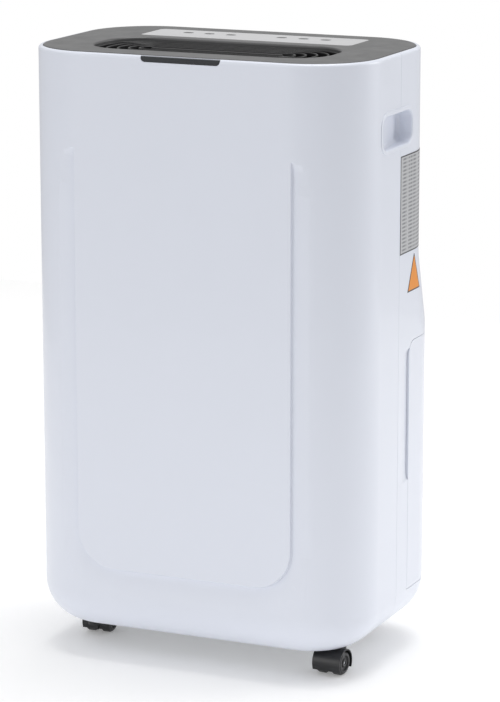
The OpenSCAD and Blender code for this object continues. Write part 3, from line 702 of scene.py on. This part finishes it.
def label_area(box, inset):
    """The outline function of a rectangle on the right wall, moved in by inset."""
    lo, hi = box
    tall, deep = hi.z - lo.z - 2 * inset, hi.y - lo.y - 2 * inset
    return lambda u, v: (lo.y + inset + deep * u, lo.z + inset + tall * v)


def triangle_area(box, inset):
    """The outline function of an upright triangle on the right wall, moved in by inset."""
    lo, hi = box
    mid = (lo.y + hi.y) / 2
    wide = hi.y - lo.y - 3.4 * inset
    low, tall = lo.z + inset, hi.z - lo.z - 3 * inset
    return lambda u, v: (mid + (u - 0.5) * wide * ((1 - v) * 0.97 + 0.03), low + tall * v)


def make_labels(silver, orange, ink):
    """The blank rating label and warning triangle, each a dark outline under a coloured field."""
    plan = (
        ("rating", label_area, "rating_plate", 1.2, silver, "plate_silver"),
        ("notice", triangle_area, "notice_sticker", 1.3, orange, "sticker_orange"),
    )
    cells = (24, 16)
    for name, area, node, edge, finish, slot in plan:
        box = node_box(node)
        border = wall_sheet(name + "_border", area(box, 0), 0.14, cells)
        finish_piece(border, "casing", ink)
        field = wall_sheet(name + "_field", area(box, edge), 0.22, cells)
        finish_piece(field, "casing", finish, [node])


# ---------- materials ----------


def shader(name, base, rough, metal=0.0, **more):
    """A Principled material, returned with its node tree and its shader node."""
    made = bpy.data.materials.new(name)
    made.use_nodes = True
    tree = made.node_tree
    surface = tree.nodes["Principled BSDF"]
    surface.inputs["Base Color"].default_value = (*base, 1)
    surface.inputs["Roughness"].default_value = rough
    surface.inputs["Metallic"].default_value = metal
    for socket, value in more.items():
        surface.inputs[socket.replace("_", " ")].default_value = value
    return made, tree, surface


def noise(tree, scale, detail=3.0, stretch=(1, 1, 1)):
    """A noise texture in object coordinates, one unit being a metre."""
    place = tree.nodes.new("ShaderNodeTexCoord")
    mapping = tree.nodes.new("ShaderNodeMapping")
    mapping.inputs["Scale"].default_value = stretch
    cloud = tree.nodes.new("ShaderNodeTexNoise")
    cloud.inputs["Scale"].default_value = scale
    cloud.inputs["Detail"].default_value = detail
    tree.links.new(place.outputs["Object"], mapping.inputs["Vector"])
    tree.links.new(mapping.outputs["Vector"], cloud.inputs["Vector"])
    return cloud.outputs["Fac"]


def spread(tree, value, low, high):
    """Maps a 0..1 value to a range."""
    lay = tree.nodes.new("ShaderNodeMapRange")
    lay.inputs["From Min"].default_value = 0.3
    lay.inputs["From Max"].default_value = 0.7
    lay.inputs["To Min"].default_value = low
    lay.inputs["To Max"].default_value = high
    tree.links.new(value, lay.inputs["Value"])
    return lay.outputs["Result"]


def tint(tree, value, dark, light):
    """Mixes two colours by a 0..1 value."""
    mix = tree.nodes.new("ShaderNodeMix")
    mix.data_type = "RGBA"
    mix.inputs["A"].default_value = (*dark, 1)
    mix.inputs["B"].default_value = (*light, 1)
    tree.links.new(value, mix.inputs["Factor"])
    return mix.outputs["Result"]


def bump(tree, surface, height, strength, distance):
    """Relief on a surface from a height value; distance in metres."""
    relief = tree.nodes.new("ShaderNodeBump")
    relief.inputs["Strength"].default_value = strength
    relief.inputs["Distance"].default_value = distance
    tree.links.new(height, relief.inputs["Height"])
    tree.links.new(relief.outputs["Normal"], surface.inputs["Normal"])


def plastic(name, base, rough, grain=900, relief=0.05, shade=0.04, **more):
    """A moulded plastic: cloudy colour and gloss, and a fine grain."""
    made, tree, surface = shader(name, base, rough, **more)
    cloud = noise(tree, 14)
    dark = tuple(c * (1 - shade) for c in base)
    light = tuple(min(c * (1 + shade), 1) for c in base)
    tree.links.new(tint(tree, cloud, dark, light), surface.inputs["Base Color"])
    tree.links.new(spread(tree, noise(tree, 60), rough * 0.88, rough * 1.12), surface.inputs["Roughness"])
    bump(tree, surface, noise(tree, grain, 2), relief, 0.0002)
    return made


def metal(name, base, rough, stretch=(1, 1, 1), relief=0.1):
    """A bare metal with a drawn or rolled grain."""
    made, tree, surface = shader(name, base, rough, 1.0)
    grain = noise(tree, 120, 4, stretch)
    dark = tuple(c * 0.86 for c in base)
    tree.links.new(tint(tree, grain, dark, base), surface.inputs["Base Color"])
    tree.links.new(spread(tree, grain, rough * 0.75, rough * 1.3), surface.inputs["Roughness"])
    bump(tree, surface, noise(tree, 700, 3, stretch), relief, 0.0002)
    return made


def lines(tree, axis, pitch, sharp=0.5):
    """A 0..1 wave across one axis of the object, one cycle per pitch in millimetres."""
    place = tree.nodes.new("ShaderNodeTexCoord")
    apart = tree.nodes.new("ShaderNodeSeparateXYZ")
    tree.links.new(place.outputs["Object"], apart.inputs["Vector"])
    turn = tree.nodes.new("ShaderNodeMath")
    turn.operation = "MULTIPLY"
    turn.inputs[1].default_value = 2 * math.pi / (pitch * MM)
    tree.links.new(apart.outputs[axis], turn.inputs[0])
    wave = tree.nodes.new("ShaderNodeMath")
    wave.operation = "SINE"
    tree.links.new(turn.outputs["Value"], wave.inputs[0])
    lay = tree.nodes.new("ShaderNodeMapRange")
    lay.inputs["From Min"].default_value = -sharp
    lay.inputs["From Max"].default_value = sharp
    tree.links.new(wave.outputs["Value"], lay.inputs["Value"])
    return lay.outputs["Result"]


def finned():
    """Coil packs: thin fins on edge, with painted shade in the dark gaps between them."""
    made, tree, surface = shader("coil_fins", (0.7, 0.72, 0.75), 0.35, 1.0)
    fins = lines(tree, "X", 1.8)
    # the dark stripes are painted shade standing for the gaps between the fins
    tree.links.new(tint(tree, fins, (0.12, 0.12, 0.13), (0.74, 0.76, 0.8)), surface.inputs["Base Color"])
    bump(tree, surface, fins, 0.8, 0.0006)
    return made


def ruled_foil():
    """Label foil with rows of broken grey bars in place of its print."""
    made, tree, surface = shader("ruled_foil", (0.5, 0.505, 0.52), 0.4)
    rows = lines(tree, "Z", 3.6, 0.25)
    breaks = spread(tree, noise(tree, 210, 1, (1, 1, 0.02)), 0, 1.4)
    both = tree.nodes.new("ShaderNodeMath")
    both.operation = "MULTIPLY"
    both.use_clamp = True
    tree.links.new(rows, both.inputs[0])
    tree.links.new(breaks, both.inputs[1])
    print_ink = tint(tree, both.outputs["Value"], (0.5, 0.505, 0.52), (0.22, 0.225, 0.24))
    tree.links.new(print_ink, surface.inputs["Base Color"])
    return made


# ---------- stage ----------


def aim(obj, place, target):
    """Stands a lamp or camera at a place in metres, turned to a target."""
    obj.location = place
    turn = (Vector(target) - Vector(place)).to_track_quat("-Z", "Y")
    obj.rotation_euler = turn.to_euler()
    bpy.context.scene.collection.objects.link(obj)


def make_camera():
    """The camera, at the front right and a little above the machine."""
    lens = bpy.data.cameras.new("camera")
    lens.sensor_fit = "VERTICAL"
    lens.sensor_height = 36
    lens.sensor_width = 36 * 500 / 702
    lens.lens = 160.7
    lens.shift_x = -0.0081
    lens.shift_y = 0.0053
    lens.clip_end = 20
    camera = bpy.data.objects.new("camera", lens)
    aim(camera, (1.224, -2.705, 0.958), (0.0227, 0.0003, 0.290))
    bpy.context.scene.camera = camera


def lamp(name, place, target, size, power):
    """A soft rectangular lamp; size in metres, power in watts."""
    light = bpy.data.lights.new(name, "AREA")
    light.shape = "RECTANGLE"
    light.size, light.size_y = size
    light.energy = power
    aim(bpy.data.objects.new(name, light), place, target)


def make_stage():
    """A pale floor under soft lamps, and an even dome of light."""
    wide = 1500
    corners = [(-wide, -wide, 0), (wide, -wide, 0), (wide, wide, 0), (-wide, wide, 0)]
    floor = build("floor", corners, [(0, 1, 2, 3)])
    glow = {"Emission_Color": (1, 1, 1, 1), "Emission_Strength": 0.2}
    floor.data.materials.append(plastic("floor_paper", (0.9, 0.9, 0.9), 0.8, 300, 0.02, 0.01, **glow))
    make_world(0.5)
    lamp("key", (-1.8, -3.8, 1.3), (0, 0, 0.3), (2.4, 2.4), 28)
    lamp("side", (2.9, 2.4, 1.2), (0, 0, 0.3), (1.8, 2.0), 36)
    lamp("over", (0.1, 0.3, 3.3), (0, 0, 0), (2.0, 2.0), 56)


def make_world(strength):
    """An even dome of light that the camera sees as plain white."""
    world = bpy.data.worlds.new("studio")
    world.use_nodes = True
    tree = world.node_tree
    seen = tree.nodes.new("ShaderNodeLightPath")
    level = tree.nodes.new("ShaderNodeMapRange")
    level.inputs["To Min"].default_value = strength
    level.inputs["To Max"].default_value = 1.0
    tree.links.new(seen.outputs["Is Camera Ray"], level.inputs["Value"])
    back = tree.nodes["Background"]
    back.inputs["Color"].default_value = (1, 1, 1, 1)
    tree.links.new(level.outputs["Result"], back.inputs["Strength"])
    bpy.context.scene.world = world
    bpy.context.scene.view_settings.view_transform = "Standard"


def look():
    """Every material, made once and shared."""
    return {
        "white": plastic("casing_satin", (0.77, 0.8, 0.885), 0.32, 500, 0.012, 0.008, Coat_Weight=0.2),
        "grey": plastic("panel_grain", (0.1, 0.1, 0.102), 0.34, 1100, 0.12, 0.06),
        "film": plastic("film_satin", (0.57, 0.57, 0.58), 0.32, 700, 0.02, 0.02),
        "dark": plastic("key_satin", (0.06, 0.06, 0.065), 0.35, 700, 0.04),
        "black": plastic("black_grain", (0.012, 0.012, 0.013), 0.34, 800, 0.1),
        "smoke": plastic("smoked_lens", (0.012, 0.015, 0.019), 0.2, 400, 0.01),
        "silver": ruled_foil(),
        "ink": plastic("label_ink", (0.05, 0.05, 0.055), 0.5, 300, 0.03),
        "orange": plastic("orange_film", (0.8, 0.27, 0.015), 0.4, 300, 0.03),
        "net": plastic("nylon_net", (0.05, 0.055, 0.065), 0.6, 900, 0.2),
        "liner": plastic("liner", (0.5, 0.52, 0.55), 0.5, 500, 0.15),
        "milky": plastic("milky", (0.62, 0.68, 0.75), 0.3, 300, 0.04),
        "foam": plastic("foam_beads", (0.8, 0.8, 0.78), 0.7, 350, 0.5),
        "inner": plastic("inner_black", (0.02, 0.02, 0.022), 0.5, 600, 0.2),
        "rubber": plastic("rubber", (0.015, 0.015, 0.016), 0.75, 900, 0.2),
        "enamel": plastic("black_enamel", (0.012, 0.012, 0.013), 0.22, 90, 0.1),
        "board": plastic("solder_mask", (0.02, 0.09, 0.04), 0.3, 250, 0.2, 0.3),
        "fins": finned(),
        "copper": metal("copper_tube", (0.75, 0.36, 0.2), 0.3),
        "zinc": metal("bright_zinc", (0.62, 0.63, 0.65), 0.28),
        "can": metal("drawn_can", (0.68, 0.69, 0.71), 0.25, (1, 1, 0.1)),
    }


SHOWN_WITH = {
    "milky": ["tank_lid"],
    "film": ["tank_handle", "drain_spout"],
    "foam": ["tank_float"],
    "white": ["intake_grille", "humidity_sensor"],
    "inner": ["filter_frame", "tank_switch", "coil_shroud", "fan_scroll", "fan_wheel"],
    "net": ["filter_mesh"],
    "liner": ["tank_bay", "drip_tray", "base_pan"],
    "rubber": ["drain_plug", "compressor_grommets", "cord_gland"],
    "fins": ["evaporator", "condenser"],
    "enamel": ["compressor", "accumulator"],
    "copper": ["refrigerant_pipes"],
    "zinc": ["compressor_bolts", "fan_motor", "motor_shaft", "casing_screws", "caster_stems"]
    + ["caster_axle_" + c for c in CORNERS],
    "board": ["control_board", "display_board"],
    "can": ["run_capacitor"],
    "black": ["caster_hood_" + c for c in CORNERS] + ["caster_wheels_" + c for c in CORNERS],
}


def dress_nodes(finishes):
    """Gives each CAD node that stays in view its material."""
    for finish, nodes in SHOWN_WITH.items():
        for node in nodes:
            shown = frame["nodes"][node]
            shown.data.materials.clear()
            shown.data.materials.append(finishes[finish])


make_camera()
make_stage()
finishes = look()
make_casing(finishes["white"])
make_bucket(finishes["white"])
make_top(finishes["grey"])
make_strip(finishes["film"])
make_keys(finishes["dark"])
make_outlet(finishes["black"])
make_lens(finishes["smoke"])
make_grip(1, finishes["white"])
make_grip(-1, finishes["white"])
make_labels(finishes["silver"], finishes["orange"], finishes["ink"])
dress_nodes(finishes)
